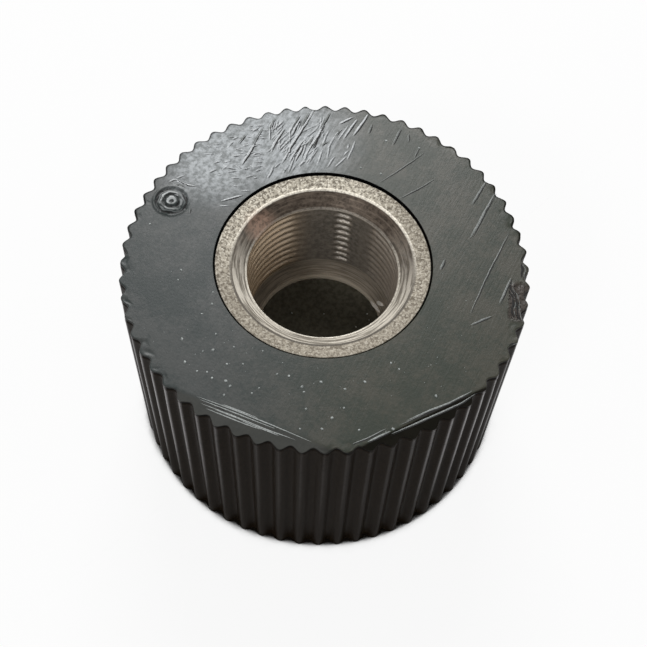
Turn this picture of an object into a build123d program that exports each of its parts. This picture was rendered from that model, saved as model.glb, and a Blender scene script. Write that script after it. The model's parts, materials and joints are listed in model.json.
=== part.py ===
import os
from math import acos, atan2, cos, degrees, hypot, radians, sin, tan

from build123d import *

# A film spool cog: a straight-fluted moulded wheel with a blind threaded metal bush in its top face.
# The origin is the middle of the flat underside, with +Z along the wheel's axis. Lengths are in
# millimetres and angles in degrees, and an azimuth is counted from +X towards +Y.

# Moulded wheel
tip_radius = 15.0           # to the tips of the teeth at the top face
wheel_height = 18.4
mould_draft = 0.68          # the wheel narrows downwards, so that it leaves its mould
tooth_count = 60
tooth_depth = 0.44
tip_rounding = 0.25
root_rounding = 0.25
first_tooth_azimuth = 2.67

# Threaded bush
bush_radius = 7.94
bush_recess = 0.15          # the bush's rim lies this far under the wheel's top face
bush_shift_x = -0.17        # the bush sits slightly off the wheel's axis
bush_shift_y = 0.33
face_width = 1.17           # the ring of metal round the mouth
face_dish = 0.26            # the ring falls this far towards the mouth
countersink_depth = 0.92
thread_size = 12.0
thread_pitch = 0.75
threaded_length = 7.0
runout_length = 1.7         # plain end of the bore, which narrows to the lip
lip_radius = 4.95
lip_length = 0.22
neck_depth = 0.55           # a groove round the bush, which the moulding fills to hold it
neck_width = 2.2
neck_height = 3.4           # from the bush's bottom to the groove's lower edge

# Pocket of the wheel round the bush
pocket_bevel = 0.14

# Ring left in the top face by the mould's ejector pin
pin_mark_radius = 1.2
pin_mark_line = 0.16        # width of the ring's groove
pin_mark_depth = 0.08
pin_mark_inset = 2.14       # from the tips of the teeth to the ring's middle
pin_mark_azimuth = 156.6

# Two scraped flats at the rim, each a shallow slope outside a straight chord
left_flat_azimuth = 250.8
left_flat_width = 1.7       # from the chord to the tips of the teeth
left_flat_drop = 0.13       # at the tips of the teeth
right_flat_azimuth = 300.7
right_flat_width = 1.2
right_flat_drop = 0.22

# Sizes that follow
half_pitch = 180 / tooth_count
pin_mark_reach = tip_radius - pin_mark_inset
foot_radius = tip_radius - wheel_height * tan(radians(mould_draft))
thread_core_radius = thread_size / 2 - 0.5413 * thread_pitch
mouth_radius = bush_radius - face_width
bush_rim = wheel_height - bush_recess
mouth_edge = bush_rim - face_dish
thread_top = mouth_edge - countersink_depth
thread_end = thread_top - threaded_length
lip_top = thread_end - runout_length
bush_bottom = lip_top - lip_length
neck_bottom = bush_bottom + neck_height
neck_top = neck_bottom + neck_width
bush_foot = (bush_shift_x, bush_shift_y, 0)
bush_plane = Plane(origin=bush_foot, x_dir=(1, 0, 0), z_dir=(0, -1, 0))
bush_axis = Axis(origin=bush_foot, direction=(0, 0, 1))


def polar(reach, azimuth):
    return reach * cos(radians(azimuth)), reach * sin(radians(azimuth))


def flank_ends(radius):
    """Outer and inner end of a tooth's straight flank, as reaches and angles from the tooth's middle.

    The flank touches the round tip and, on its other side, the round root, so both roundings are
    square to it at the angle facing.
    """
    tip_centre = radius - tip_rounding, 0
    root_centre = polar(radius - tooth_depth + root_rounding, half_pitch)
    run_x, run_y = root_centre[0] - tip_centre[0], root_centre[1] - tip_centre[1]
    heading = degrees(atan2(run_y, run_x))
    facing = heading - degrees(acos((tip_rounding + root_rounding) / hypot(run_x, run_y)))
    tip_x, tip_y = polar(tip_rounding, facing)
    root_x, root_y = polar(root_rounding, facing)
    outer = tip_centre[0] + tip_x, tip_centre[1] + tip_y
    inner = root_centre[0] - root_x, root_centre[1] - root_y
    return [(hypot(*end), degrees(atan2(end[1], end[0]))) for end in (outer, inner)]


def fluted_outline(radius):
    (outer_reach, outer_angle), (inner_reach, inner_angle) = flank_ends(radius)
    for tooth in range(tooth_count):
        middle = first_tooth_azimuth + 2 * half_pitch * tooth
        following = middle + 2 * half_pitch
        tip_start = polar(outer_reach, middle - outer_angle)
        tip_end = polar(outer_reach, middle + outer_angle)
        root_start = polar(inner_reach, middle + inner_angle)
        root_end = polar(inner_reach, following - inner_angle)
        next_tip_start = polar(outer_reach, following - outer_angle)
        ThreePointArc(tip_start, polar(radius, middle), tip_end)
        Line(tip_end, root_start)
        ThreePointArc(root_start, polar(radius - tooth_depth, middle + half_pitch), root_end)
        Line(root_end, next_tip_start)


def scraped_plane(azimuth, width, drop):
    """The slope that falls from the chord to drop below the top face at the tips of the teeth."""
    chord_middle = (*polar(tip_radius - width, azimuth), wheel_height)
    outward = polar(drop, azimuth)
    return Plane(origin=chord_middle, z_dir=(*outward, width))


def bush_side():
    """The bush's outer side from its bottom to its rim, which the wheel's pocket follows."""
    return [
        (bush_radius, bush_bottom),
        (bush_radius, neck_bottom),
        (bush_radius - neck_depth, neck_bottom),
        (bush_radius - neck_depth, neck_top),
        (bush_radius, neck_top),
    ]


# Moulded wheel: the fluted blank
with BuildPart() as moulded_cog:
    for level, radius in ((0, foot_radius), (wheel_height, tip_radius)):
        with BuildSketch(Plane.XY.offset(level)):
            with BuildLine():
                fluted_outline(radius)
            make_face()
    loft(ruled=True)

    # Scraped flats
    left_flat = scraped_plane(left_flat_azimuth, left_flat_width, left_flat_drop)
    right_flat = scraped_plane(right_flat_azimuth, right_flat_width, right_flat_drop)
    split(bisect_by=left_flat, keep=Keep.BOTTOM)
    split(bisect_by=right_flat, keep=Keep.BOTTOM)

    # Pocket, which fits the bush and opens in a small bevel
    with BuildSketch(bush_plane):
        with BuildLine():
            Polyline(
                (0, bush_bottom),
                *bush_side(),
                (bush_radius, wheel_height - pocket_bevel),
                (bush_radius + pocket_bevel, wheel_height),
                (0, wheel_height),
                close=True,
            )
        make_face()
    revolve(axis=bush_axis, mode=Mode.SUBTRACT)

    # Ejector pin's mark
    with BuildSketch(Plane.XY.offset(wheel_height)):
        with Locations(polar(pin_mark_reach, pin_mark_azimuth)):
            Circle(pin_mark_radius)
            Circle(pin_mark_radius - pin_mark_line, mode=Mode.SUBTRACT)
    extrude(amount=-pin_mark_depth, mode=Mode.SUBTRACT)

# Threaded bush, with its thread as a plain bore at the crests
with BuildPart() as threaded_bush:
    with BuildSketch(bush_plane):
        with BuildLine():
            Polyline(
                *bush_side(),
                (bush_radius, bush_rim),
                (mouth_radius, mouth_edge),
                (thread_core_radius, thread_top),
                (thread_core_radius, thread_end),
                (lip_radius, lip_top),
                (lip_radius, bush_bottom),
                close=True,
            )
        make_face()
    revolve(axis=bush_axis)

moulded_cog.part.label = "moulded_cog"
threaded_bush.part.label = "threaded_bush"

os.makedirs("parts", exist_ok=True)
export_step(moulded_cog.part, "parts/moulded_cog.step")
export_step(threaded_bush.part, "parts/threaded_bush.step")
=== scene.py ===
# %% [markdown]
# # A film spool cog
# The object is a short wheel moulded in black plastic, with sixty fine flutes round its side and
# a threaded metal bush set into its top face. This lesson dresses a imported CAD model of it: the
# CAD gives the true sizes, and the cells below give the surfaces, the thread and the wear.
# Lengths are written in millimetres and turned to metres by `mm`.

import json
import math
import random

import bmesh
import bpy
from mathutils import Matrix, Vector


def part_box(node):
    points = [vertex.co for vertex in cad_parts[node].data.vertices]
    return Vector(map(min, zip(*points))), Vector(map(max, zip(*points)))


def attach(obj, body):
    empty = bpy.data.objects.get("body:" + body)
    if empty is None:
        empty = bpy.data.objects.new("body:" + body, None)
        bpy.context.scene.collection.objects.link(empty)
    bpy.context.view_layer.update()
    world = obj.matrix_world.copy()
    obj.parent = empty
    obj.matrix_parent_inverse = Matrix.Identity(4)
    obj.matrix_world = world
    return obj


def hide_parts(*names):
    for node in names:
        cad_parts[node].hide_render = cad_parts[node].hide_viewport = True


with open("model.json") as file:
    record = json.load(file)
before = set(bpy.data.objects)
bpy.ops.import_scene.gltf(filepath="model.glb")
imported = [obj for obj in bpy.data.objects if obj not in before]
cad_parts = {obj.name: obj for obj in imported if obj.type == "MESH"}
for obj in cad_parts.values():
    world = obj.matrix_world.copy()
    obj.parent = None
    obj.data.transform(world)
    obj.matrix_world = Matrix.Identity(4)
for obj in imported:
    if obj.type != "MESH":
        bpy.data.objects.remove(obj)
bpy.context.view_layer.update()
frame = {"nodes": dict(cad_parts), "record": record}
mm = 0.001
print("frame loaded:", sorted(frame["nodes"]))

# %% [markdown]
# ## Sizes
# Most overall sizes are read from the CAD model, so that both always agree; the radii of the wheel's
# tips and foot are given as numbers. What the CAD leaves out, such as the thread's depth and the wear,
# is named in the cell that makes it.

# %% Sizes read from the CAD model and from its record
wheel_low, wheel_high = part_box("moulded_cog")
bush_low, bush_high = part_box("threaded_bush")
thread_mount = next(m for m in frame["record"]["mounts"] if m["name"] == "thread")
wheel_height = wheel_high.z
tip_radius = 15.0 * mm
foot_radius = 14.782 * mm
bush_middle = (bush_low + bush_high) / 2
bush_radius = (bush_high.x - bush_low.x) / 2
bush_rim = bush_high.z
bush_bottom = bush_low.z
crest_radius = thread_mount["dims"]["r_mm"] * mm
thread_length = thread_mount["dims"]["length_mm"] * mm
thread_middle = thread_mount["pos_m"][2]
print("wheel", round(wheel_height / mm, 2), "high, bush radius", round(bush_radius / mm, 2))

# %% [markdown]
# ## The camera
# The photo looks down on the wheel from 57 degrees, with a slight roll. A camera can be placed by
# eye, but then no mark read from the photo would land where it belongs. This one was fitted to the
# wheel's outline, its teeth and the rings of the bush, so a pixel of the photo can be traced back
# to a spot on the wheel. It stands on the object's -Y side, and its place is measured in tip radii
# from the middle of the top face.

# %% Place the camera
view_elevation = math.radians(57.39)
view_distance = 6.0923
view_roll = 0.0589
aim = Vector((0.0073, -0.3262, 0.0))
focal_pixels = 1248.9
frame_pixels = 647
sensor_width = 36.0

top_middle = Vector((0, 0, wheel_height))
eye_direction = Vector((0, -math.cos(view_elevation), math.sin(view_elevation)))
eye = top_middle + eye_direction * view_distance * tip_radius
looking = (top_middle + aim * tip_radius - eye).normalized()
level_right = looking.cross(Vector((0, 0, 1))).normalized()
level_up = level_right.cross(looking)
camera_right = level_right * math.cos(view_roll) + level_up * math.sin(view_roll)
camera_up = level_up * math.cos(view_roll) - level_right * math.sin(view_roll)

camera_data = bpy.data.cameras.new("photo_camera")
camera_data.lens = focal_pixels * sensor_width / frame_pixels
camera_data.sensor_width = sensor_width
camera_data.clip_start = 0.001
camera = bpy.data.objects.new("photo_camera", camera_data)
bpy.context.scene.collection.objects.link(camera)
turn = Matrix((camera_right, camera_up, -looking)).transposed().to_4x4()
camera.matrix_world = Matrix.Translation(eye) @ turn
bpy.context.scene.camera = camera
print("lens", round(camera_data.lens, 1), "mm, eye at", [round(c / mm) for c in eye])


# %% A point of the photo, found on the wheel
def on_level(pixel, level=wheel_height):
    """Where the line of sight through a pixel of the photo meets a level plane."""
    across = (pixel[0] - frame_pixels / 2) / focal_pixels
    down = (pixel[1] - frame_pixels / 2) / focal_pixels
    sight = looking + camera_right * across - camera_up * down
    return eye + sight * ((level - eye.z) / sight.z)


print("middle of the photo on the face:", [round(c / mm, 2) for c in on_level((323.5, 323.5))])


# %% [markdown]
# ## Nodes written as arithmetic
# A rule such as "the radius falls by a cosine between two teeth" could be drawn by hand as a web of
# nodes, but it is easier to read as a formula. `Number` stands for a value that flows between
# nodes, and each sum or product adds one Math node. The same class serves geometry trees and
# material trees.

# %% Add a node and fill its inputs
def plug(tree, item, slot):
    """Joins a value to a node's input, or writes it there if it is a plain number."""
    if isinstance(item, Number):
        tree.links.new(item.socket, slot)
    elif isinstance(item, bpy.types.NodeSocket):
        tree.links.new(item, slot)
    else:
        slot.default_value = item


def fill(tree, node, inputs):
    """Fills a node's inputs, by name or by number."""
    for name, value in inputs.items():
        plug(tree, value, node.inputs[name])


def add(tree, kind, inputs=None, **settings):
    """Adds a node with its settings and fills its inputs."""
    node = tree.nodes.new(kind)
    for name, value in settings.items():
        setattr(node, name, value)
    fill(tree, node, inputs or {})
    return node


# %% A number that flows between nodes
class Number:
    """A value that flows between nodes."""

    def __init__(self, tree, socket):
        self.tree = tree
        self.socket = socket

    def then(self, operation, *others):
        items = dict(enumerate((self, *others)))
        node = add(self.tree, "ShaderNodeMath", items, operation=operation)
        return Number(self.tree, node.outputs[0])

    def __add__(self, other):
        return self.then("ADD", other)

    def __sub__(self, other):
        return self.then("SUBTRACT", other)

    def __mul__(self, other):
        return self.then("MULTIPLY", other)

    def __truediv__(self, other):
        return self.then("DIVIDE", other)

    def __rsub__(self, other):
        return self.then("MULTIPLY_ADD", -1.0, other)

    __radd__ = __add__
    __rmul__ = __mul__

    def ramp(self, low, high):
        """0 at low, 1 at high, with a soft passage between them. High may be the lower."""
        node = add(
            self.tree, "ShaderNodeMapRange", {"Value": self, "From Min": low, "From Max": high},
            interpolation_type="SMOOTHSTEP",
        )
        return Number(self.tree, node.outputs["Result"])


# %% Vectors, noise and distance
def noise(tree, vector, scale, detail=4.0, roughness=0.55):
    values = {"Vector": vector, "Scale": scale, "Detail": detail, "Roughness": roughness}
    return Number(tree, add(tree, "ShaderNodeTexNoise", values).outputs[0])


def joined(tree, x, y, z):
    return add(tree, "ShaderNodeCombineXYZ", {"X": x, "Y": y, "Z": z}).outputs[0]


def parts_of(tree, vector):
    split = add(tree, "ShaderNodeSeparateXYZ", {0: vector})
    return tuple(Number(tree, split.outputs[axis]) for axis in "XYZ")


def stretched(tree, vector, azimuth, along, across):
    """The vector turned so that X runs along an azimuth, then scaled along and across it."""
    turned = add(
        tree, "ShaderNodeVectorRotate", {"Vector": vector, "Angle": -math.radians(azimuth)},
        rotation_type="Z_AXIS",
    )
    scaled = add(
        tree, "ShaderNodeVectorMath", {0: turned.outputs[0], 1: (along, across, 1.0)},
        operation="MULTIPLY",
    )
    return scaled.outputs[0]


def apart(x, y, middle):
    """Distance from a spot of the face."""
    off_x, off_y = x - middle.x, y - middle.y
    return (off_x * off_x + off_y * off_y).then("SQRT")


# %% [markdown]
# ## Materials
# The real finishes are dull black moulding, tarnished metal, and the small wear on both. They could
# be painted as image textures, but a rule stays sharp from any distance. So each pattern here is
# noise on Object coordinates in millimetres. The pieces also carry marks, which their geometry
# stores further below, and which say where the scuffs, the rim and the torn patch are.

# %% Helpers for materials
def new_material(name):
    """A material, its tree and shader, and the spot on the object in millimetres."""
    material = bpy.data.materials.new(name)
    material.use_nodes = True
    tree = material.node_tree
    shader = tree.nodes["Principled BSDF"]
    spot = add(tree, "ShaderNodeTexCoord").outputs["Object"]
    in_mm = add(tree, "ShaderNodeVectorMath", {0: spot, 1: (1000, 1000, 1000)}, operation="MULTIPLY")
    return material, tree, shader, in_mm.outputs[0]


def mark_on(tree, label):
    """A mark that the geometry stored on the mesh."""
    return Number(tree, add(tree, "ShaderNodeAttribute", attribute_name=label).outputs["Fac"])


def blend(amount, first, second):
    """A colour that passes from the first to the second as the amount goes from 0 to 1."""
    node = add(amount.tree, "ShaderNodeMix", {"Factor": amount}, data_type="RGBA")
    for slot, colour in ((node.inputs[6], first), (node.inputs[7], second)):
        plug(amount.tree, (*colour, 1.0) if isinstance(colour, tuple) else colour, slot)
    return node.outputs[2]


def layered(colour, *layers):
    """A colour with others laid over it, each by its own amount."""
    for amount, layer in layers:
        colour = blend(amount, colour, layer)
    return colour


def raise_surface(tree, shader, height, depth_mm):
    """Turns a height, from 0 to 1, into relief of that depth."""
    bump = add(tree, "ShaderNodeBump", {"Height": height, "Strength": 1.0, "Distance": depth_mm * mm})
    tree.links.new(bump.outputs["Normal"], shader.inputs["Normal"])


# %% [markdown]
# ## Black moulding
# The plastic is black, yet its top face looks grey, because it softly mirrors a bright room. A
# lighter colour could give the same grey, but would look chalky from any other side. So the colour
# stays nearly black, and the specular level sets how light the face is. Its far left is scuffed
# pale, and that pale colour is partly a painted sheen. The other wear is laid over it in layers,
# each by its own amount, and so are painted shade and painted highlights.

# %% Colours of the moulding, most of them as pairs that a pattern passes between
bluish_black = (0.013, 0.020, 0.019), (0.027, 0.031, 0.029)
brownish_black = (0.016, 0.022, 0.013), (0.031, 0.030, 0.018)
# Scuffed pale, partly a painted sheen.
scuffed_grey_and_sheen = (0.17, 0.183, 0.184), (0.42, 0.445, 0.46)
scraped_black = (0.026, 0.027, 0.023), (0.010, 0.009, 0.0075)      # left flat, right flat
side_black = (0.0085, 0.0055, 0.003), (0.0165, 0.0115, 0.0075)
hole_brown = (0.058, 0.054, 0.041), (0.17, 0.165, 0.13)
torn_brown = (0.065, 0.053, 0.047)
# Painted shade along the rounded edge of the far rim.
far_rim_shade_black = (0.010, 0.009, 0.008)
# Painted highlights along the crests of the flutes.
crest_highlight_grey = (0.35, 0.33, 0.335)
# Painted highlight on the raised rings of the pin's mark.
raised_ring_highlight = (0.58, 0.60, 0.60)
# Painted shade in the grooves of the pin's mark and in the cracks of the torn patch.
groove_shade_black = (0.003, 0.003, 0.003)
# Painted shade in the gap round the bush and under the rim.
gap_shade_black = (0.002, 0.002, 0.002)

# %% Places on the moulding
scratch_azimuth = 66.0
gap_start = 7.0             # mm from the rim, where the face ends at the bush
mark_middle = on_level((171.3, 200.5))
mark_edge = (1.35, 1.15)    # mm from the middle of the pin's mark, where its dullness ends
pale_rings = ((0.32, 0.14, 1.0), (0.80, 0.08, 0.7), (0.97, 0.05, 0.4))      # radius, half width, share
dark_rings = ((0.0, 0.17, 1.0), (0.62, 0.08, 0.9), (1.12, 0.10, 1.0))
print("middle of the pin's mark:", [round(c / mm, 2) for c in mark_middle])


# %% The rings of the ejector pin's mark
def ring_layers(tree, vector, off_mark, lower_right):
    """Raised rings get a painted highlight at the upper left, and grooves painted shade at the lower right.
    """
    warped = off_mark + (noise(tree, vector, 1.0, 2.0) - 0.5) * 0.6
    broken = noise(tree, vector, 1.4, 2.0).ramp(0.44, 0.54)
    lit = (1.0 - 0.6 * lower_right) * (0.1 + 0.9 * broken)
    unlit = 0.2 + 0.8 * lower_right.then("MAXIMUM", broken)
    layers = []
    for rings, kept, colour in ((pale_rings, lit, raised_ring_highlight), (dark_rings, unlit, groove_shade_black)):
        for radius, half_width, share in rings:
            on_ring = (warped - radius).then("ABSOLUTE").ramp(half_width, half_width * 0.5)
            layers.append((on_ring * kept * share, colour))
    return layers


# %% The fluted side
def side_colour(from_rim, grain, crest_highlight):
    """Warm black, with painted highlights along the crests and a line of painted shade under the rim."""
    # Painted shade in a thin band under the rim's burr.
    shade_under_rim = from_rim.ramp(-0.34, -0.26) * from_rim.ramp(-0.08, -0.12)
    plain = blend(grain.ramp(0.35, 0.7), *side_black)
    return layered(plain, (crest_highlight, crest_highlight_grey), (shade_under_rim, gap_shade_black))


# %% The whole moulding
def black_moulding():
    material, tree, shader, vector = new_material("black_moulding")
    x, y, _ = parts_of(tree, vector)
    from_rim = mark_on(tree, "from_rim") * 1000
    scuff_and_sheen, torn, scraped = (mark_on(tree, label) for label in ("scuff_and_sheen", "torn", "scraped"))
    cloud = noise(tree, vector, 0.3, 3.0)
    grain = noise(tree, vector, 5.0, 5.0, 0.6)
    pits = noise(tree, vector, 2.6, 4.0, 0.65)
    streaks = noise(tree, stretched(tree, vector, scratch_azimuth, 0.8, 5.0), 1.0, 4.0, 0.6)
    hair = noise(tree, stretched(tree, vector, scratch_azimuth, 0.5, 6.0), 1.0, 4.0, 0.6)
    on_face = from_rim.ramp(-0.12, 0.04)
    right_half = x.ramp(0.0, 2.0)
    mottle = (cloud * 0.6 + pits * 0.4).ramp(0.40, 0.60)
    streaked = 0.55 - 0.35 * x.ramp(-4.0, -7.0)
    flecks = (pits + (streaks - pits) * streaked).ramp(0.38, 0.62)
    veins = (pits - 0.5).then("ABSOLUTE").ramp(0.02, 0.006)
    # Painted shade along the rounded edge of the rim, on its far side only.
    far_rim_shade = from_rim.ramp(0.28, 0.08) * y.ramp(-2.0, 4.0)
    off_mark = apart(x, y, mark_middle / mm)
    lower_right = (x - y - (mark_middle.x - mark_middle.y) / mm).ramp(-1.2, 1.2)
    # The gap round the bush gets painted shade, wider on the far side, and the hole's floor its colour.
    in_hole = (from_rim + 0.07 * y.ramp(2.0, 7.0)).ramp(gap_start - 0.05, gap_start)
    # Flecked, and lighter towards the front of the hole's floor.
    fleck_and_front_gradient = pits.ramp(0.35, 0.65) * 0.35 + y.ramp(2.0, -3.5) * 0.65
    sideways = (x / (tip_radius / mm)).then("ABSOLUTE")
    # Painted highlights on the crests, strongest at the left and right.
    crest_highlight = mark_on(tree, "crest") * (0.06 + 0.94 * sideways.ramp(0.35, 0.85)) * grain.ramp(0.2, 0.5)

    face = layered(
        blend(x.ramp(-9.0, 5.0), blend(mottle, *bluish_black), blend(mottle, *brownish_black)),
        (scuff_and_sheen, blend(flecks, *scuffed_grey_and_sheen)),
        (scraped * 0.9, blend(right_half, *scraped_black)),
        (torn * 0.8, torn_brown),
        (torn * veins * 0.6, groove_shade_black),
        (far_rim_shade * 0.8, far_rim_shade_black),
        *ring_layers(tree, vector, off_mark, lower_right),
        (in_hole, blend(from_rim.ramp(8.0, 9.0), gap_shade_black, blend(fleck_and_front_gradient, *hole_brown))),
    )
    dulled = 0.5 * in_hole + 0.15 * torn + 0.3 * far_rim_shade
    dulled = dulled + 0.1 * off_mark.ramp(*mark_edge) + 0.3 * scraped * right_half
    face_shine = 0.27 + 0.05 * mottle - 0.03 * x.ramp(-3.0, 6.0) - dulled
    shine = 0.022 + face_shine * on_face + 0.4 * crest_highlight * (1.0 - on_face)
    fill(tree, shader, {
        "Base Color": blend(on_face, side_colour(from_rim, grain, crest_highlight), face),
        "Roughness": 0.25 + 0.06 * on_face + 0.10 * grain + 0.10 * scuff_and_sheen,
        "Specular IOR Level": shine.then("MAXIMUM", 0.0),
    })
    relief = grain * (0.10 + 0.05 * on_face) + (pits * 0.4 + streaks * streaked) * scuff_and_sheen
    raise_surface(tree, shader, relief + hair * 0.16 * on_face - veins * torn, 0.05)
    return material


moulding = black_moulding()
print("the moulding has", len(moulding.node_tree.nodes), "nodes")

# %% [markdown]
# ## Tarnished bush metal
# The bush is a turned metal piece, brown with tarnish in its bore and bright where it is rubbed on
# its flat ring. Both edges of the cone carry painted highlights, the near part of the cone is painted
# light, and the near and right part of the ring has tarnish and painted shade. One plain metal would
# lose all of that. The geometry therefore stores how far along the section a spot lies, and the
# colours follow this mark: `along` is 0 to 1 across the ring, 1 to 2 down the cone and 2 to 4 in the
# bore. It is only partly metallic, because a full metal would be as dark as the bore it mirrors.

# %% Colours and places of the bush
ring_metal = (0.13, 0.11, 0.083), (0.45, 0.41, 0.335)
ring_fleck = (0.78, 0.735, 0.63)
# Tarnish and painted shade on the near and right part of the ring.
ring_tarnish_and_shade = (0.09, 0.072, 0.048)
cone_metal = (0.036, 0.027, 0.020), (0.088, 0.068, 0.052)
turning_line = (0.20, 0.16, 0.125)
# Painted light on the near part of the cone.
lit_cone_metal = (0.32, 0.29, 0.24), (0.90, 0.84, 0.73)
bore_metal = (0.20, 0.182, 0.157), (0.33, 0.295, 0.252)
left_bore_brown = (0.57, 0.43, 0.285)
right_bore_grey = (0.40, 0.35, 0.295)
# Darker in the thread's grooves.
groove_darkening = (0.055, 0.042, 0.030)
band_metal = (0.26, 0.225, 0.18), (0.47, 0.41, 0.34)
# Painted highlight on the lip at the foot of the bore, also over its shaded inner side.
lip_highlight = (0.80, 0.72, 0.60)
# Painted highlights on the edges of the cone.
edge_highlight_metal = (0.80, 0.75, 0.65)
# Painted shade on the upper edge of the cone, at the near side.
edge_shade = (0.045, 0.037, 0.028)
copper_brown = (0.47, 0.30, 0.22)
copper_patch = on_level((263, 226), bush_rim - 0.6 * mm)
print("copper-coloured patch at", [round(c / mm, 1) for c in copper_patch])


# %% The bush's metal
def bush_metal():
    material, tree, shader, vector = new_material("bush_metal")
    x, y, z = parts_of(tree, vector)
    lump = noise(tree, vector, 2.8, 5.0, 0.65)
    fleck = noise(tree, vector, 6.0, 3.0, 0.65)
    patch = noise(tree, vector, 3.8, 5.0, 0.7)
    turned = noise(tree, joined(tree, x * 0.4, y * 0.4, z * 9.0), 1.0, 3.0)
    along = mark_on(tree, "along")
    on_ring = 1.0 - along.ramp(0.98, 1.04)
    on_cone = along.ramp(0.98, 1.04) * (1.0 - along.ramp(1.96, 2.0))
    upper_edge = along.ramp(0.86, 0.93) * along.ramp(1.08, 1.02)
    lower_edge = along.ramp(1.86, 1.93) * along.ramp(2.02, 2.0)
    in_band = along.ramp(2.96, 3.02)
    in_thread = along.ramp(1.98, 2.02) * (1.0 - in_band)
    rightward = x - bush_middle.x / mm
    near = (y - bush_middle.y / mm).ramp(5.0, -4.0)
    right = rightward.ramp(2.0, 7.0) * y.ramp(-7.0, 1.0)
    # Painted light on the near part of the cone, less on its right.
    painted_cone_light = near.then("POWER", 1.4) * 0.95 * (1.0 - 0.35 * right)
    # Painted highlights: the upper edge away from the near side, the lower edge mostly at the near side.
    edge_highlight = (upper_edge * (1.0 - near)).then("MAXIMUM", lower_edge * (0.15 + 0.85 * near))
    off_x, off_y, off_z = (v - c / mm for v, c in zip((x, y, z), copper_patch))
    away = (off_x * off_x + off_y * off_y + off_z * off_z).then("SQRT")
    copper = away.ramp(1.8, 0.5) * (0.4 + 0.6 * lump.ramp(0.40, 0.56))

    ring = layered(
        blend(patch.ramp(0.42, 0.58), *ring_metal),
        (fleck.ramp(0.50, 0.62) * 0.78, ring_fleck),
        # Tarnish and painted shade on the near and right part of the ring.
        (near.then("MAXIMUM", right * 0.85) * 0.58, ring_tarnish_and_shade),
    )
    cone = layered(
        blend(lump.ramp(0.35, 0.65), *cone_metal),
        (turned.ramp(0.5, 0.65) * 0.4, turning_line),
        (painted_cone_light, blend(turned.ramp(0.41, 0.55), *lit_cone_metal)),
    )
    bore = layered(
        blend(lump.ramp(0.35, 0.65), *bore_metal),
        (rightward.ramp(-0.5, -4.5) * 0.9, left_bore_brown),
        (rightward.ramp(2.0, 5.0) * 0.7, right_bore_grey),
        (mark_on(tree, "groove").ramp(0.35, 0.85) * 0.65, groove_darkening),
        (in_band, blend(turned.ramp(0.4, 0.6), *band_metal)),
        (along.ramp(3.20, 3.235), lip_highlight),
    )
    colour = layered(
        blend(on_ring, bore, ring),
        (on_cone, cone),
        (edge_highlight * (0.5 + 0.5 * fleck.ramp(0.4, 0.55)), edge_highlight_metal),
        (upper_edge * near * 0.85, edge_shade),
        (copper * 0.5, copper_brown),
    )
    fill(tree, shader, {
        "Base Color": colour,
        "Metallic": 0.40,
        "Specular IOR Level": 0.5 - 0.35 * on_cone,
        "Roughness": 0.28 + 0.10 * lump + 0.26 * on_ring - 0.10 * in_thread,
    })
    raise_surface(tree, shader, lump * 0.6 + fleck * 0.5 + turned * 0.4 * on_cone, 0.05)
    return material


metal = bush_metal()
print("the bush's metal has", len(metal.node_tree.nodes), "nodes")

# %% [markdown]
# ## Finishes of the small wear
# Dust, painted shade, bared plastic with painted highlights, and torn metal show up as small things of
# one colour each. A pattern with marks would be wasted on them, so they share one function that
# flecks two close colours.

# %% Pale dust, painted shade, bared moulding with painted highlights, and torn metal
def plain_finish(name, first, second, roughness, metallic=0.0):
    material, tree, shader, vector = new_material(name)
    colour = blend(noise(tree, vector, 9.0).ramp(0.35, 0.65), first, second)
    fill(tree, shader, {"Base Color": colour, "Roughness": roughness, "Metallic": metallic})
    return material


dust = plain_finish("pale_dust", (0.16, 0.175, 0.17), (0.50, 0.53, 0.52), 0.6)
# Painted shade: the dark sides of scratches, the cracks of the torn patch and the lines below scrapes.
painted_shade = plain_finish("painted_shade_black", (0.002, 0.002, 0.002), (0.006, 0.005, 0.005), 0.8)
# Painted shade of the short strokes in the scuffed part.
shade = plain_finish("painted_stroke_shade", (0.03, 0.032, 0.034), (0.10, 0.105, 0.11), 0.6)
# Bared plastic, also used as a painted highlight beside the dark scratches and on the crack lips.
bared_and_highlight = plain_finish("bared_moulding_and_highlight", (0.13, 0.14, 0.135), (0.27, 0.285, 0.275), 0.32)
# Pale burrs, partly a painted highlight of their lit side, and the painted highlights beside strokes.
pale = plain_finish("pale_burr_and_highlight", (0.45, 0.47, 0.48), (0.75, 0.77, 0.78), 0.4)
polished = plain_finish("polished_moulding", (0.22, 0.235, 0.23), (0.42, 0.445, 0.435), 0.4)
swarf = plain_finish("bright_swarf", (0.75, 0.72, 0.66), (0.92, 0.89, 0.84), 0.4, 0.3)
print("small finishes:", [m.name for m in (dust, painted_shade, shade, bared_and_highlight, pale, polished, swarf)])

# %% [markdown]
# ## A turned surface
# Both pieces are round, so one tree makes both. Screw and Spin could turn a profile too, but the
# flutes and the thread would then need Booleans. This tree takes a profile, which is a line of
# points, lays out a grid with one row for each point, and wraps it round the axis. The rule for
# each piece bends the plain wall into flutes or a screw thread, and names the marks that the
# materials read.

# %% The start and the end of a geometry tree
def new_geometry_tree(name, sizes):
    """A tree with a mesh in, a mesh out and a named input for each size."""
    tree = bpy.data.node_groups.new(name, "GeometryNodeTree")
    tree.interface.new_socket("Source", in_out="INPUT", socket_type="NodeSocketGeometry")
    tree.interface.new_socket("Result", in_out="OUTPUT", socket_type="NodeSocketGeometry")
    for label, value in sizes.items():
        kind = "NodeSocketInt" if isinstance(value, int) else "NodeSocketFloat"
        tree.interface.new_socket(label, in_out="INPUT", socket_type=kind)
    source = add(tree, "NodeGroupInput")
    given = {label: Number(tree, source.outputs[label]) for label in sizes}
    return tree, source.outputs["Source"], given


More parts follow.
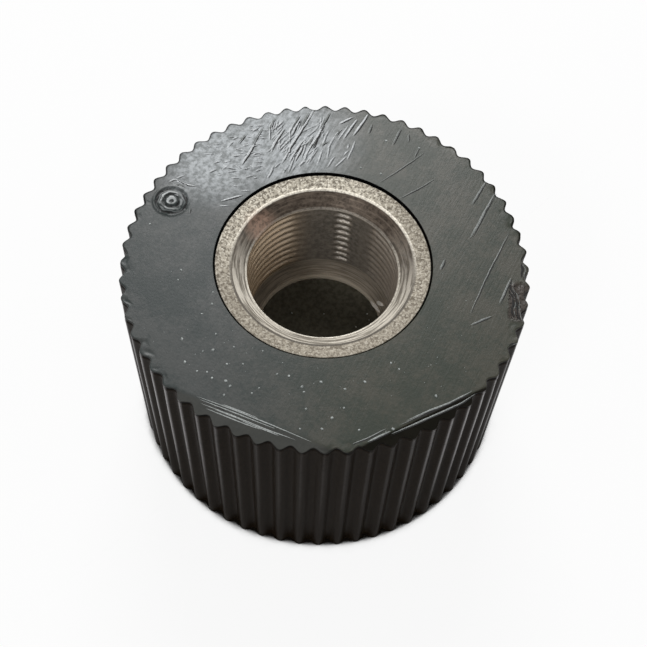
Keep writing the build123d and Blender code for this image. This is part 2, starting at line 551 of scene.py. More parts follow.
def end_tree(tree, surface, material):
    """Makes the instances real, gives the surface its material and passes it out."""
    real = add(tree, "GeometryNodeRealizeInstances", {0: surface})
    painted = add(tree, "GeometryNodeSetMaterial", {0: real.outputs[0], "Material": material})
    sink = add(tree, "NodeGroupOutput")
    tree.links.new(painted.outputs[0], sink.inputs[0])


# %% The tree for a turned surface
def turned_tree(name, sizes, rule, material):
    """A tree that wraps a grid round the axis. It reads radius, weight and height from the profile."""
    tree, profile, given = new_geometry_tree(name, sizes)
    count = Number(tree, add(tree, "GeometryNodeAttributeDomainSize", {0: profile}).outputs[0])
    grid = add(
        tree, "GeometryNodeMeshGrid",
        {"Size X": 1.0, "Size Y": 1.0, "Vertices X": given["Columns"] + 1.0, "Vertices Y": count},
    )
    spot = add(tree, "GeometryNodeInputPosition").outputs[0]
    along, up, _ = parts_of(tree, spot)
    angle = (along + 0.5) * math.tau
    row = ((up + 0.5) * (count - 1.0)).then("ROUND")
    found = add(
        tree, "GeometryNodeSampleIndex", {"Geometry": profile, "Value": spot, "Index": row},
        data_type="FLOAT_VECTOR",
    )
    place, marks = rule(tree, angle, *parts_of(tree, found.outputs[0]), given)

    surface = grid.outputs[0]
    for label, mark in marks.items():
        stored = add(tree, "GeometryNodeStoreNamedAttribute", {0: surface, "Name": label, "Value": mark})
        surface = stored.outputs[0]
    wrapped = add(tree, "GeometryNodeSetPosition", {0: surface, "Position": place})
    merged = add(tree, "GeometryNodeMergeByDistance", {0: wrapped.outputs[0], "Distance": 0.0005 * mm})
    end_tree(tree, merged.outputs[0], material)
    return tree


# %% From a tree to a plain mesh
def line_object(name, points, links=None):
    """A mesh of bare points, joined in a row unless the links are given."""
    mesh = bpy.data.meshes.new(name)
    if links is None:
        links = [(i, i + 1) for i in range(len(points) - 1)]
    mesh.from_pydata(points, links, [])
    thing = bpy.data.objects.new(name, mesh)
    bpy.context.scene.collection.objects.link(thing)
    return thing


def run_tree(source, tree, sizes):
    """What the tree makes of the source, as a plain mesh. The source is used up."""
    modifier = source.modifiers.new("made", "NODES")
    modifier.node_group = tree
    for item in tree.interface.items_tree:
        if item.in_out == "INPUT" and item.name in sizes:
            modifier[item.identifier] = sizes[item.name]
    graph = bpy.context.evaluated_depsgraph_get()
    mesh = bpy.data.meshes.new_from_object(source.evaluated_get(graph))
    source.modifiers.remove(modifier)
    bpy.data.objects.remove(source)
    return mesh


def finish_shell(mesh, sharp_angle):
    """Drops slivers, turns the faces outwards and shades them smooth between sharp edges."""
    shell = bmesh.new()
    shell.from_mesh(mesh)
    bmesh.ops.dissolve_degenerate(shell, dist=0.0002 * mm, edges=shell.edges)
    bmesh.ops.recalc_face_normals(shell, faces=shell.faces)
    for face in shell.faces:
        face.smooth = True
    shell.to_mesh(mesh)
    shell.free()
    mesh.set_sharp_from_angle(angle=math.radians(sharp_angle))


def solidified(name, source, tree, sizes, sharp_angle=40):
    """Runs the tree on the source and keeps the result as a plain mesh in a new object."""
    mesh = run_tree(source, tree, sizes)
    finish_shell(mesh, sharp_angle)
    mesh.name = name
    piece = bpy.data.objects.new(name, mesh)
    bpy.context.scene.collection.objects.link(piece)
    print(name, "has", sum(len(face.vertices) - 2 for face in mesh.polygons), "triangles")
    return piece


# %% [markdown]
# ## The wheel
# Sixty flutes run straight down the wheel's side. An array could repeat one tooth, but the rim is
# worn differently at each, so one surface carries them all. They follow a cosine, which has a
# rounded tip, a rounded root and nearly straight flanks. The side narrows downwards because the
# wheel had to leave its mould. Rows of the grid are closest where there is most to show. The middle
# value of a profile's point says how strongly the flutes bend its row.

# %% Profile of the wheel
rim_rounding = 0.08 * mm
foot_rounding = 0.16 * mm
pocket_radius = bush_radius
pocket_bevel = 0.14 * mm
undercut = 0.05 * mm        # under the fine burr that the facing cut left round the rim
flute_reach = 1.9 * mm      # how far in from the rim the flutes still bend the grid
face_start = 14.86 * mm
face_rows = 72


def flute_weight(radius, edge):
    return max(0.0, 1 - (edge - radius) / flute_reach)


def spread(start, end, steps):
    """Even steps from start up to, but not including, end."""
    return [start + (end - start) * i / steps for i in range(steps)]


def corner_arc(centre_radius, centre_height, rounding, first, last, steps=4):
    """Points of a rounded edge. An angle of 0 points outwards and 90 up."""
    angles = [math.radians(first + (last - first) * i / steps) for i in range(steps + 1)]
    return [(centre_radius + rounding * math.cos(a), centre_height + rounding * math.sin(a)) for a in angles]


def wheel_underside_and_side():
    points = [(radius, 0.0, 0.0) for radius in (0.0, 8 * mm, foot_radius - flute_reach)]
    points += [(r, flute_weight(r, foot_radius), 0.0) for r in (13.6 * mm, 14.2 * mm)]
    foot = corner_arc(foot_radius - foot_rounding, foot_rounding, foot_rounding, -90, 0)
    points += [(r, 1.0, z) for r, z in foot]
    for z in spread(2.0 * mm, 17.6 * mm, 7) + spread(17.6 * mm, wheel_height - 0.4 * mm, 2):
        points.append((foot_radius + (tip_radius - foot_radius) * z / wheel_height, 1.0, z))
    for inset, below in ((0.0, 0.40), (undercut, 0.30), (undercut, 0.22), (0.0, 0.14)):
        points.append((tip_radius - inset, 1.0, wheel_height - below * mm))
    return points


def wheel_face_and_pocket():
    rim = corner_arc(tip_radius - rim_rounding, wheel_height - rim_rounding, rim_rounding, 0, 90)
    points = [(r, 1.0, z) for r, z in rim]
    inward = spread(face_start, pocket_radius + pocket_bevel + 0.12 * mm, face_rows)
    points += [(r, flute_weight(r, tip_radius), wheel_height) for r in inward]
    points += [(pocket_radius + pocket_bevel, 0.0, wheel_height)]
    points += [(pocket_radius, 0.0, wheel_height - pocket_bevel), (pocket_radius, 0.0, bush_bottom)]
    points += [(r, 0.0, bush_bottom) for r in (5.0 * mm, 2.5 * mm, 0.0)]
    return points


wheel_profile = wheel_underside_and_side() + wheel_face_and_pocket()
print("rows in the wheel's grid:", len(wheel_profile))

# %% Wear of the top face, placed from the photo
tear_lines = [
    [(511.5, 279.8), (511.1, 288), (515.7, 297.2), (517.7, 302.1), (518.1, 312.9), (522.3, 322.9)],
    [(509, 289.7), (513.2, 298.8), (513.2, 308), (514, 313.7), (516, 317.9)],
    [(521.5, 263), (522.5, 270), (521, 278)], [(509, 345), (515.7, 342.8)],
]
tear_middle = on_level((519, 302))
tear_azimuth = -4.0
scuff_middles = {7.6 * mm: on_level((278, 138)), 5.6 * mm: on_level((218, 158))}
print("torn patch at", [round(c / mm, 1) for c in tear_middle])

# %% Rings of the pin's mark: depth against the distance from its middle
mark_reach = 1.4 * mm
level_share = 0.35          # the curve's value that leaves the face level
mark_depths = [
    (0.0, 1.0), (0.13, 0.9), (0.22, 0.0), (0.34, 0.1), (0.40, 0.9), (0.50, 0.1),
    (0.70, 0.35), (0.82, 1.0), (0.92, 0.0), (1.0, level_share),
]


def depth_curve(tree, value, knots):
    curve = add(tree, "ShaderNodeFloatCurve", {"Value": value})
    line = curve.mapping.curves[0]
    for _ in knots[2:]:
        line.points.new(0.5, 0.5)
    for point, knot in zip(line.points, knots):
        point.location = knot
    curve.mapping.update()
    return Number(tree, curve.outputs[0])


def mark_depth(tree, x, y):
    """How deep the pin's mark is at a spot, as a share. A raised ring counts below 0."""
    off_mark = apart(x, y, mark_middle) / mark_reach
    return (depth_curve(tree, off_mark, mark_depths) - level_share) * off_mark.then("LESS_THAN", 1.0)


# %% Scraped flats, scuffed part and torn patch
scraped_flats = {250.8: (1.7 * mm, 0.13 * mm), 300.7: (1.2 * mm, 0.22 * mm)}    # azimuth: width, drop


def ahead(x, y, azimuth):
    """How far out a spot lies towards an azimuth."""
    return x * math.cos(math.radians(azimuth)) + y * math.sin(math.radians(azimuth))


def fall_of_flat(x, y, azimuth):
    """How far a scraped flat lies below the top face at a spot, or below 0 where it isn't cut."""
    width, drop = scraped_flats[azimuth]
    return (ahead(x, y, azimuth) - (tip_radius - width)) * (drop / width)


def greatest(values):
    """The greatest of several values that flow between nodes."""
    result = values[0]
    for value in values[1:]:
        result = result.then("MAXIMUM", value)
    return result


def scuff_and_sheen_part(x, y):
    return greatest([apart(x, y, middle).ramp(size, size * 0.25) for size, middle in scuff_middles.items()])


def torn_patch(x, y):
    at_rim = ahead(x, y, tear_azimuth).ramp(13.4 * mm, 13.6 * mm)
    return apart(x, y, tear_middle).ramp(1.9 * mm, 1.3 * mm) * at_rim


# %% The wheel's rule
tooth_count = 60


def wheel_rule(tree, angle, radius, weight, height, given):
    """Bends the wall into flutes, then wears, lifts and cuts the top face."""
    on_top = height.then("GREATER_THAN", wheel_height * 0.9) * radius.then("GREATER_THAN", bush_radius)
    outer = radius.then("GREATER_THAN", 11.0 * mm)
    from_rim = (tip_radius - radius) + (wheel_height - height) * (1.0 - 2.0 * outer)
    wave = 0.5 - 0.5 * ((angle - given["First Tooth"]) * tooth_count).then("COSINE")
    across, forward = angle.then("COSINE"), angle.then("SINE")
    nibble = noise(tree, joined(tree, across * radius, forward * radius, height), 900.0, 3.0)
    tip_loss = (1.0 - wave) * nibble.ramp(0.45, 0.8) * from_rim.ramp(-2.5 * mm, -0.1 * mm) * weight
    reach = radius - wave * given["Tooth Depth"] * weight - tip_loss * given["Tip Wear"]
    shift = radius.ramp(11.0 * mm, pocket_radius + pocket_bevel)
    x = across * reach + bush_middle.x * shift
    y = forward * reach + bush_middle.y * shift

    spot = joined(tree, x, y, height)
    scuff_and_sheen = scuff_and_sheen_part(x, y) * on_top
    torn = torn_patch(x, y) * on_top
    dents = noise(tree, stretched(tree, spot, scratch_azimuth, 0.35, 1.6), 1500.0, 3.0, 0.6)
    knots = noise(tree, spot, 1900.0, 2.0)
    z = height - on_top * from_rim.ramp(0.9 * mm, 0.0) * nibble.ramp(0.5, 0.75) * given["Rim Wear"]
    z = z + scuff_and_sheen * (dents - 0.5) * given["Scuff Depth"]
    z = z - mark_depth(tree, x, y) * on_top * given["Mark Depth"]
    z = z + torn * (nibble * 0.5 + knots * 0.5 - 0.45) * given["Tear Lift"]

    falls = [fall_of_flat(x, y, azimuth) for azimuth in scraped_flats]
    for fall in falls:
        z = z.then("MINIMUM", wheel_height - fall)
    scraped = greatest([fall.ramp(0.0, 0.02 * mm) for fall in falls]) * on_top
    # Where the crest highlight is painted. It fades out towards the foot.
    crest = (1.0 - wave).then("POWER", 34.0) * weight * height.ramp(2.0 * mm, 12.0 * mm)
    marks = {"from_rim": from_rim, "scuff_and_sheen": scuff_and_sheen, "torn": torn, "scraped": scraped, "crest": crest}
    return joined(tree, x, y, z), marks


# %% Make the wheel
wheel_sizes = {
    "Columns": 840,
    "First Tooth": math.radians(2.67),
    "Tooth Depth": 0.44 * mm,
    "Tip Wear": 0.12 * mm,
    "Rim Wear": 0.07 * mm,
    "Scuff Depth": 0.09 * mm,
    "Mark Depth": 0.11 * mm,
    "Tear Lift": 0.45 * mm,
}
wheel_tree = turned_tree("wheel_surface", wheel_sizes, wheel_rule, moulding)
wheel = solidified("fluted_wheel", line_object("wheel_line", wheel_profile), wheel_tree, wheel_sizes)
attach(wheel, "root")
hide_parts("moulded_cog")

# %% [markdown]
# ## The bush
# It is a turned piece with a fine thread cut inside. A thread could be a profile swept along a
# helix and cut from the bore, but such cuts often fail on fine pitches. Here the wall itself moves
# in and out: the depth follows the height and the angle together, so that one turn lifts the groove
# by one pitch. The grid needs about twelve rows to a pitch, or the flanks come out in steps. The
# middle value of a point says how deep the thread is there, and it fades out at both ends.

# %% Sizes of the bush
thread_pitch = 0.75 * mm
thread_depth = 0.27 * mm    # shallower than a new thread, because it is worn and clogged
clogged = [                 # share of the thread's depth against the share of a full turn
    (0.0, 0.75), (0.13, 0.6), (0.155, 0.06), (0.188, 0.05), (0.198, 0.85), (0.222, 0.85),
    (0.234, 0.04), (0.285, 0.04), (0.325, 0.7), (0.37, 1.0), (0.8, 0.85), (1.0, 0.75),
]
rows_per_turn = 12
face_width = 1.17 * mm
face_dish = 0.26 * mm
lip_radius = 4.95 * mm
lip_length = 0.22 * mm
rim_edge = 0.08 * mm        # rounding of the bush's outer edge
edge_bead = 0.04 * mm       # the mouth's edge stands up as a fine bead
thread_top = thread_middle + thread_length / 2
thread_end = thread_middle - thread_length / 2
lip_top = bush_bottom + lip_length
mouth_radius = bush_radius - face_width
mouth_edge = bush_rim - face_dish
print("turns of thread:", round(thread_length / thread_pitch, 1))


# %% Profile of the bush
def runout_radius(share):
    """Radius of the plain wall below the thread, from the thread's end (0) to the lip (1)."""
    return crest_radius + (lip_radius - crest_radius) * share ** 1.6


def bush_ring_and_cone():
    points = [(lip_radius, 0.0, bush_bottom), (bush_radius, 0.0, bush_bottom)]
    rim = corner_arc(bush_radius - rim_edge, bush_rim - rim_edge, rim_edge, 0, 90)
    points += [(r, 0.0, z) for r, z in rim]
    for share in spread(0.12, 0.9, 8):
        points.append((bush_radius - face_width * share, 0.0, bush_rim - face_dish * share))
    points.append((mouth_radius + 0.1 * mm, 0.0, mouth_edge + 0.03 * mm))
    points.append((mouth_radius + 0.03 * mm, 0.0, mouth_edge + edge_bead))
    points.append((mouth_radius - 0.04 * mm, 0.0, mouth_edge - 0.02 * mm))
    for share in spread(0.12, 0.88, 8):
        radius = mouth_radius + (crest_radius - mouth_radius) * share
        points.append((radius, 0.0, mouth_edge + (thread_top - mouth_edge) * share))
    return points


def bush_bore():
    points = [(crest_radius + 0.14 * mm, 0.0, thread_top + 0.06 * mm)]
    points.append((crest_radius + 0.03 * mm, 0.0, thread_top + 0.02 * mm))
    rows = round(thread_length / thread_pitch * rows_per_turn)
    for z in spread(thread_top - 0.04 * mm, thread_end, rows):
        fade = min(1.0, (thread_top - z) / (0.5 * mm), (z - thread_end) / (0.6 * mm) + 0.1)
        points.append((crest_radius, max(0.0, fade), z))
    for share in spread(0.0, 1.0, 8):
        points.append((runout_radius(share), 0.0, thread_end + (lip_top - thread_end) * share))
    return points + [(lip_radius, 0.0, lip_top), (lip_radius, 0.0, bush_bottom)]


bush_profile = bush_ring_and_cone() + bush_bore()
print("rows in the bush's grid:", len(bush_profile))


# %% The bush's rule
def along_section(radius, height):
    """0 to 1 across the ring, 1 to 2 down the cone and on from 2 down the bore."""
    past_ring = height.then("LESS_THAN", mouth_edge - 0.01 * mm)
    past_cone = height.then("LESS_THAN", thread_top)
    over_ring = (bush_radius - radius) / face_width
    down_cone = (mouth_edge - height) / (mouth_edge - thread_top) + 1.0
    down_bore = (thread_top - height) / thread_length + 2.0
    return over_ring * (1.0 - past_ring) + down_cone * (past_ring - past_cone) + down_bore * past_cone


def bush_rule(tree, angle, radius, weight, height, given):
    """Cuts the thread into the bore and makes the ring and the cone slightly uneven."""
    turns = height / given["Pitch"] - angle / math.tau
    zigzag = (turns - turns.then("FLOOR") - 0.5).then("ABSOLUTE") * 2.0
    groove = zigzag.ramp(0.05, 0.95) * depth_curve(tree, angle / math.tau, clogged)
    reach = radius + groove * weight * given["Thread Depth"]
    x = angle.then("COSINE") * reach
    y = angle.then("SINE") * reach
    lump = (noise(tree, joined(tree, x, y, height), 1500.0, 4.0, 0.6) - 0.5) * given["Unevenness"]
    on_ring = height.ramp(mouth_edge - 0.06 * mm, mouth_edge)
    in_bore = height.ramp(thread_top + 0.1 * mm, thread_top)
    z = height + lump * (0.3 + 0.7 * on_ring) * (1.0 - in_bore)
    marks = {"along": along_section(radius, height), "groove": groove * weight}
    return joined(tree, x + bush_middle.x, y + bush_middle.y, z), marks


# %% Make the bush
bush_sizes = {
    "Columns": 256,
    "Pitch": thread_pitch,
    "Thread Depth": thread_depth,
    "Unevenness": 0.10 * mm,
}
bush_tree = turned_tree("bush_surface", bush_sizes, bush_rule, metal)
bush = solidified("bush_with_thread", line_object("bush_line", bush_profile), bush_tree, bush_sizes, 55)
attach(bush, "root")
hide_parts("threaded_bush")

# %% [markdown]
# ## Scratches
# A scratch in plastic throws up a fine burr, which catches the light on one side and shades the
# other. A bump in the material could fake it, but would fade at its narrow width. So each burr is
# geometry: a thin diamond swept along a line that was read from the photo and laid on the face
# through the camera. It tapers to nothing at both ends and wavers a little. Most burrs have a dark
# line beside them for the side that lies in shade.

# %% The tree that sweeps a burr along each line
def swept_tree(name, sizes, material):
    tree, lines, given = new_geometry_tree(name, sizes)
    curve = add(tree, "GeometryNodeMeshToCurve", {0: lines})
    even = add(tree, "GeometryNodeResampleCurve", {0: curve.outputs[0], "Length": 0.22 * mm}, mode="LENGTH")
    spot = add(tree, "GeometryNodeInputPosition").outputs[0]
    sideways = (noise(tree, spot, 900.0, 2.0) - 0.5) * 2.0 * given["Waver"]
    offset = joined(tree, sideways, 0.0, 0.0)
    moved = add(tree, "GeometryNodeSetPosition", {0: even.outputs[0], "Offset": offset})
    upright = add(tree, "GeometryNodeSetCurveNormal", {0: moved.outputs[0]}, mode="Z_UP")
    along = Number(tree, add(tree, "GeometryNodeSplineParameter").outputs["Factor"])
    taper = (along * math.pi).then("SINE").then("MAXIMUM", 0.0).then("POWER", 0.6) + 0.02
    thickness = taper * (noise(tree, spot, 1500.0, 2.0) + 0.5) * given["Half Width"]
    ring = add(tree, "GeometryNodeCurvePrimitiveCircle", {"Resolution": 4, "Radius": 1.0})
    flat = joined(tree, 1.0, given["Flatness"], 1.0)
    diamond = add(tree, "GeometryNodeTransform", {0: ring.outputs[0], "Scale": flat})
    swept = add(
        tree, "GeometryNodeCurveToMesh",
        {0: upright.outputs[0], 1: diamond.outputs[0], "Scale": thickness, "Fill Caps": True},
    )
    end_tree(tree, swept.outputs[0], material)
    return tree


def sweep_lines(name, lines, material, half_width, flatness=0.4, waver=0.1):
    """Sweeps a burr of a material along each line. Widths are in millimetres."""
    points, links = [], []
    for line in lines:
        links += [(len(points) + i, len(points) + i + 1) for i in range(len(line) - 1)]
        points += line
    sizes = {"Half Width": half_width * mm, "Flatness": flatness, "Waver": waver * mm}
    tree = swept_tree(name + "_tree", sizes, material)
    piece = solidified(name, line_object(name + "_lines", points, links), tree, sizes, 20)
    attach(piece, "root")


# %% Lines of the photo, laid on the wheel
def on_top_face(pixel):
    """A point of the photo, found on the top face or on one of its scraped flats."""
    point = on_level(pixel)
    for azimuth in scraped_flats:
        fall = fall_of_flat(point.x, point.y, azimuth)
        if fall > 0:
            point = on_level(pixel, wheel_height - fall)
    return point


def laid(pixel_lines):
    """Lines of photo pixels, laid on the wheel's top face."""
    return [[on_top_face(pixel) for pixel in line] for line in pixel_lines]


def beside(lines, shift):
    """The same lines, moved over the face by a distance in millimetres."""
    return [[point + Vector((*shift, 0)) * mm for point in line] for line in lines]


# %% Scratches on the face, read from the photo
wide_scratches = [
    [(314, 109), (298, 135), (281, 163)], [(353, 117), (338, 124)], [(368, 114), (353, 136)],
    [(241, 165), (255, 143)], [(357, 119), (343, 139)], [(221, 201), (242, 195)],
    [(168, 182), (174, 179), (180, 182), (187, 185), (196, 186)],
    [(303, 158), (318, 134)], [(289, 160), (303, 140)], [(309, 152), (324, 124)], [(270, 150), (284, 128)],
    [(303, 145), (294, 162)], [(300, 118), (291, 136)],
]
fine_scratches = [
    [(318, 137), (312, 150)], [(313, 137), (307, 147)], [(328, 141), (320, 146)],
    [(372, 124), (368, 134)], [(401, 128), (392, 145)], [(408, 134), (408, 142)],
    [(511, 278), (499, 304)], [(172, 187), (178, 184), (184, 187)],
    [(495, 193), (471, 238)], [(486, 181), (471, 205)], [(492, 316), (470, 325)],
    [(445, 259), (440, 270)], [(330, 112), (318, 132)], [(262, 128), (252, 146)],
    [(275, 118), (268, 131)], [(246, 134), (238, 144)], [(341, 128), (334, 138)],
    [(300, 128), (309, 112)], [(292, 128), (300, 114)],
]
dark_scratches = [
    [(420, 148), (415, 159)], [(425, 153), (414, 161), (402, 169), (380, 183)],
    [(436, 179), (418, 190), (400, 199)], [(510, 233), (491, 270), (471, 314)],
    [(495, 194), (470, 240)], [(191, 208), (190, 214)], [(214, 405), (226, 412)],
    [(352, 445), (368, 439), (388, 429)], [(400, 426), (430, 412.5), (470, 395)],
]
# The dark lines beside the burrs are painted shade. The burrs' pale colour is partly a painted highlight.
burr_shade = (0.11, -0.05)      # mm from a burr to the dark line along its lower right side
dark_light = (-0.08, 0.04)      # mm from a dark scratch to the light along its upper left side
sweep_lines("wide_scratches", laid(wide_scratches), pale, 0.08, 0.4)
sweep_lines("wide_scratch_shades", beside(laid(wide_scratches), burr_shade), painted_shade, 0.07, 0.5)
sweep_lines("fine_scratches", laid(fine_scratches), bared_and_highlight, 0.07, 0.45)
sweep_lines("fine_scratch_shades", beside(laid(fine_scratches), burr_shade), painted_shade, 0.05, 0.5)
# Dark scratches are painted shade of their grooves, with painted highlights along their upper left.
sweep_lines("dark_scratches", laid(dark_scratches), painted_shade, 0.045, 0.4, 0.08)
sweep_lines("dark_scratch_lights", beside(laid(dark_scratches), dark_light), bared_and_highlight, 0.03, 0.4, 0.08)

# %% Scrape lines on the two flats
left_flat_lines = [
    [(196, 396), (232, 409), (272, 425), (312, 442)], [(199, 399), (238, 414), (276, 429)],
    [(200, 403), (234, 416), (268, 430), (296, 440)], [(205, 408), (240, 422), (262, 430)],
    [(214, 409), (250, 423)], [(222, 404), (258, 418)], [(240, 420), (280, 436)],
]
right_flat_lines = [
    [(367.5, 442), (379, 436.5), (391, 431)],
    [(391, 434), (412, 425), (440, 412.5), (462, 402.5), (476, 393.5)],
    [(407, 420.5), (430, 410), (450, 402.5), (472.5, 391)],
]
# The dark lines below the scrape lines on the right flat are painted shade.
flat_shade = (0.02, -0.11)      # mm from a scrape line to the dark line below it
sweep_lines("left_flat_lines", laid(left_flat_lines), polished, 0.038, 0.7, 0.04)
sweep_lines("right_flat_lines", laid(right_flat_lines), polished, 0.06, 0.7, 0.06)
sweep_lines("right_flat_shades", beside(laid(right_flat_lines), flat_shade), painted_shade, 0.05, 0.7, 0.06)

# %% Cracks of the torn patch
crack_lip = (0.18, 0.0)         # mm from a crack to its raised lip
# The cracks are lines of painted shade, and their lips are pale, partly a painted highlight.
sweep_lines("crack_shade", laid(tear_lines), painted_shade, 0.09, 0.9, 0.35)
sweep_lines("crack_lips", beside(laid(tear_lines), crack_lip), bared_and_highlight, 0.04, 1.2, 0.5)

# %% Torn metal at the lip of the bore, placed from the photo
lip_burrs = [
    [(370.5, 300.5), (376, 307), (380, 313)], [(376.5, 301.5), (382, 304.5), (384, 306)],
    [(373.5, 303), (379, 311)],
]


def on_bore(pixel):
    """Where the line of sight through a pixel meets the wall of the bore."""
    for height in spread(thread_top, bush_bottom, 300):
        point = on_level(pixel, height)
        share = max(0.0, (thread_end - height) / (thread_end - lip_top))
        if (point.xy - bush_middle.xy).length > runout_radius(min(1.0, share)):
            break
    return point


burr_lines = [[on_bore(pixel) for pixel in line] for line in lip_burrs]
sweep_lines("lip_burrs", burr_lines, swarf, 0.20, 1.0, 0.1)

# %% [markdown]
# ## Short strokes
# The scuffed part is covered with short strokes, far too many to read one by one. They are strewn
# by chance, with a fixed seed so that each run gives the same ones. Most run the way the long
# scratches do. Those at the far left are shorter and lie nearly level, as in the photo.

# %% Short strokes strewn over the scuffed part
chance = random.Random(11)
stroke_tries = 280
stroke_middle = on_level((262, 145))
stroke_spread = (3.6, 2.1)      # mm
level_limit = -5.0 * mm         # strokes that start to the left of this lie nearly level
stroke_light = (-0.10, 0.05)    # mm from a stroke to the light along its upper left side
strokes = []
for _ in range(stroke_tries):
    off_middle = [chance.gauss(0, reach) for reach in stroke_spread]
    start = stroke_middle + Vector((*off_middle, 0)) * mm
    level_part = start.x < level_limit
    heading = math.radians(chance.gauss(5, 22) if level_part else chance.gauss(scratch_azimuth, 12))
    length = chance.uniform(0.3, 0.8) if level_part else chance.uniform(0.4, 2.2)
    end = start + Vector((math.cos(heading), math.sin(heading), 0)) * length * mm
    inside = all(8.6 * mm < Vector(point[:2]).length < 14.3 * mm for point in (start, end))
    if inside and end.x < 2.0 * mm:
        strokes.append([start, end])
print("strokes kept:", len(strokes))
# The strokes are dark lines of painted shade, with a painted highlight along their upper left side.
sweep_lines("short_strokes", strokes, shade, 0.045, 0.4)
sweep_lines("short_stroke_lights", beside(strokes, stroke_light), pale, 0.045, 0.5)

# %% [markdown]
# ## Specks of dust
# Pale specks lie on the face, most of them near the front. Noise in the material could dot it, but
# the dots would be flat and would sit anywhere. So one small lump is put on each of many points.
# Those that can be told apart in the photo lie where they are, and sixty finer ones lie by chance.

# %% Places of the larger specks, read from the photo
speck_pixels = [
    (182, 339), (203, 351), (213, 350), (234, 347), (185, 362), (197, 371), (207, 372), (212, 378),
    (226, 381), (230, 386), (224, 395), (243, 364), (227, 364), (259, 388), (252, 393), (263, 351),
    (277, 374), (289, 376), (302, 387), (304, 392), (306, 409), (344, 408), (332, 418), (300, 429),
    (322, 429), (345, 389), (321, 382), (365, 382), (399, 369), (391, 363), (436, 396), (359, 430),
    (393, 429), (361, 168), (381, 174), (386, 141), (285, 170), (318, 122), (150, 224), (181, 270),
    (178, 280), (419, 148), (213, 292), (212, 304), (202, 314), (216, 334),
]
bore_speck_pixels = [(292, 313), (324, 314), (367, 314), (369, 320), (356, 327)]
print("specks placed by hand:", len(speck_pixels) + len(bore_speck_pixels))


# %% The tree that puts a lump on each point
def strewn_tree(name, sizes):
    tree, points, given = new_geometry_tree(name, sizes)
    cloud = add(tree, "GeometryNodeMeshToPoints", {0: points})
    lump = add(tree, "GeometryNodeMeshIcoSphere", {"Radius": 1.0, "Subdivisions": 1})
    size = add(
        tree, "FunctionNodeRandomValue",
        {2: given["Smallest"], 3: given["Largest"], "Seed": given["Seed"]},
    )
    radius = Number(tree, size.outputs[1])
    scale = joined(tree, radius, radius * 1.3, radius * 0.7)
    spin = add(tree, "FunctionNodeRandomValue", {1: (0.3, 0.3, 6.28)}, data_type="FLOAT_VECTOR")
    strewn = add(
        tree, "GeometryNodeInstanceOnPoints",
        {0: cloud.outputs[0], "Instance": lump.outputs[0], "Rotation": spin.outputs[0], "Scale": scale},
    )
    end_tree(tree, strewn.outputs[0], dust)
    return tree


def strew_specks(name, points, smallest, largest):
    """Puts a speck of dust on each point, between two radii in millimetres."""
    sizes = {"Smallest": smallest * mm, "Largest": largest * mm, "Seed": 4}
    tree = strewn_tree(name + "_tree", sizes)
    piece = solidified(name, line_object(name + "_points", points, []), tree, sizes, 180)
    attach(piece, "root")


# %% Specks
fine_count = 60
fine_points = []
for _ in range(fine_count):
    reach, angle = chance.uniform(8.4, 14.0) * mm, chance.uniform(math.pi, math.tau)
    fine_points.append((reach * math.cos(angle), reach * math.sin(angle), wheel_height))
strew_specks("dust_specks", [on_level(pixel) for pixel in speck_pixels], 0.06, 0.12)
strew_specks("fine_dust", fine_points, 0.018, 0.035)
strew_specks("dust_in_the_bore", [on_level(pixel, bush_bottom) for pixel in bore_speck_pixels], 0.05, 0.08)

# %% [markdown]
# ## The floor
# The wheel stands on a plain pale floor that reads white in the photo and still holds a shadow.
# Stronger lamps would whiten the floor and bleach the wheel with it. So the floor adds a little
# glow of its own, seen only by the camera and in mirror images. Close to the wheel its colour
# darkens as a painted contact shadow, most between two teeth, so that the wheel's foot shows as one
# smooth line.

# %% Rays that see the background
# Reach of the painted contact shadow on the floor, darkest between the teeth.
contact_reach = 3.0 * mm        # how far off the wheel still darkens the floor, most between its teeth
mirrored_shadow = (15, 50)      # mm from the axis, between which the wheel's shadow fades in mirror images
floor_glow = 0.90
shadow_brown = (0.012, 0.010, 0.008)
floor_grey = (0.85, 0.85, 0.85)


def seen_rays(tree, mirrored=1.0):
    """1 for rays that show the background to the camera, straight or by way of shiny metal or glass."""
    path = add(tree, "ShaderNodeLightPath")
    kinds = ("Is Camera Ray", "Is Glossy Ray", "Is Transmission Ray")
    camera_ray, glossy_ray, through_ray = (Number(tree, path.outputs[kind]) for kind in kinds)
    return (camera_ray + (glossy_ray + through_ray) * mirrored).then("MINIMUM", 1.0)


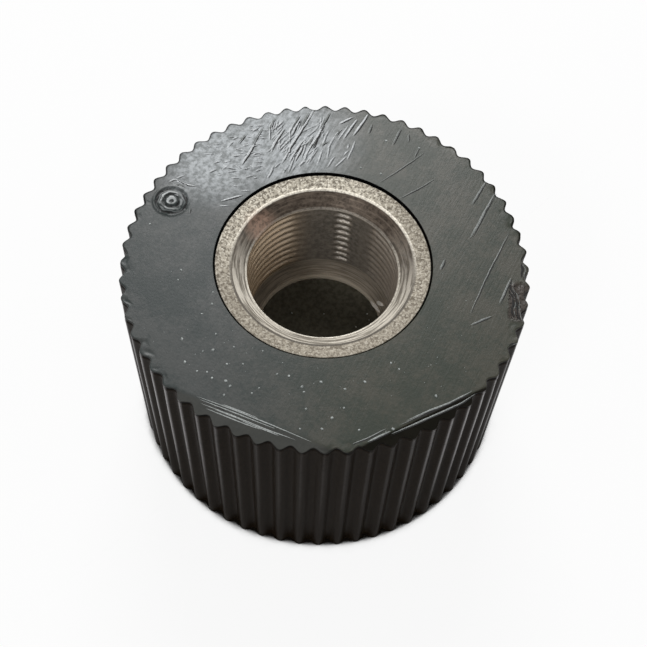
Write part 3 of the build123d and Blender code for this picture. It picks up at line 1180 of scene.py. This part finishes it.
# %% Floor
def floor_material():
    material = bpy.data.materials.new("floor")
    material.use_nodes = True
    tree = material.node_tree
    tree.nodes.clear()
    open_sky = add(tree, "ShaderNodeAmbientOcclusion", {"Distance": contact_reach}).outputs["AO"]
    lit = Number(tree, open_sky).ramp(0.46, 0.60)
    plain = add(tree, "ShaderNodeBsdfDiffuse", {"Color": blend(lit, shadow_brown, floor_grey)})
    glow = add(tree, "ShaderNodeEmission", {"Color": (1.0, 1.0, 1.0, 1.0), "Strength": 1.0})
    x, y, _ = parts_of(tree, add(tree, "ShaderNodeTexCoord").outputs["Object"])
    off_axis = (x * x + y * y).then("SQRT") / mm
    amount = seen_rays(tree, off_axis.ramp(*mirrored_shadow)) * floor_glow * lit
    mixed = add(tree, "ShaderNodeMixShader", {0: amount, 1: plain.outputs[0], 2: glow.outputs[0]})
    output = add(tree, "ShaderNodeOutputMaterial")
    tree.links.new(mixed.outputs[0], output.inputs["Surface"])
    return material


bpy.ops.mesh.primitive_plane_add(size=2.0)
floor = bpy.context.object
floor.name = "floor"
floor.data.materials.append(floor_material())

# %% [markdown]
# ## Light and world
# The photo's light is soft and comes mostly from behind, where the scuffed part of the top face
# mirrors it towards the camera. A sky picture could give such light, but two square lamps and a
# plain world are easier to set. The larger lamp stands behind the wheel. The smaller one stands in
# front and gives the thread its short bright strips. The world is white where it is seen, and much
# dimmer as a light.

# %% The lamps and the world
room_light = 0.35


def lamp(name, azimuth, elevation, distance, size, power):
    """A square soft lamp that faces the wheel from that direction."""
    data = bpy.data.lights.new(name, "AREA")
    data.size = size
    data.energy = power
    thing = bpy.data.objects.new(name, data)
    a, e = math.radians(azimuth), math.radians(elevation)
    away = Vector((math.cos(a) * math.cos(e), math.sin(a) * math.cos(e), math.sin(e)))
    thing.location = top_middle + away * distance
    thing.rotation_euler = away.to_track_quat("Z", "Y").to_euler()
    bpy.context.scene.collection.objects.link(thing)


lamp("window_lamp", 94, 42, 0.45, 0.20, 1.5)
lamp("front_lamp", 240, 42, 0.50, 0.10, 0.6)
world = bpy.data.worlds.new("studio")
world.use_nodes = True
sky = world.node_tree.nodes["Background"]
strength = seen_rays(world.node_tree) * (1.0 - room_light) + room_light
plug(world.node_tree, strength, sky.inputs["Strength"])
sky.inputs["Color"].default_value = (1.0, 1.0, 1.0, 1.0)
bpy.context.scene.world = world
bpy.context.scene.view_settings.view_transform = "Standard"
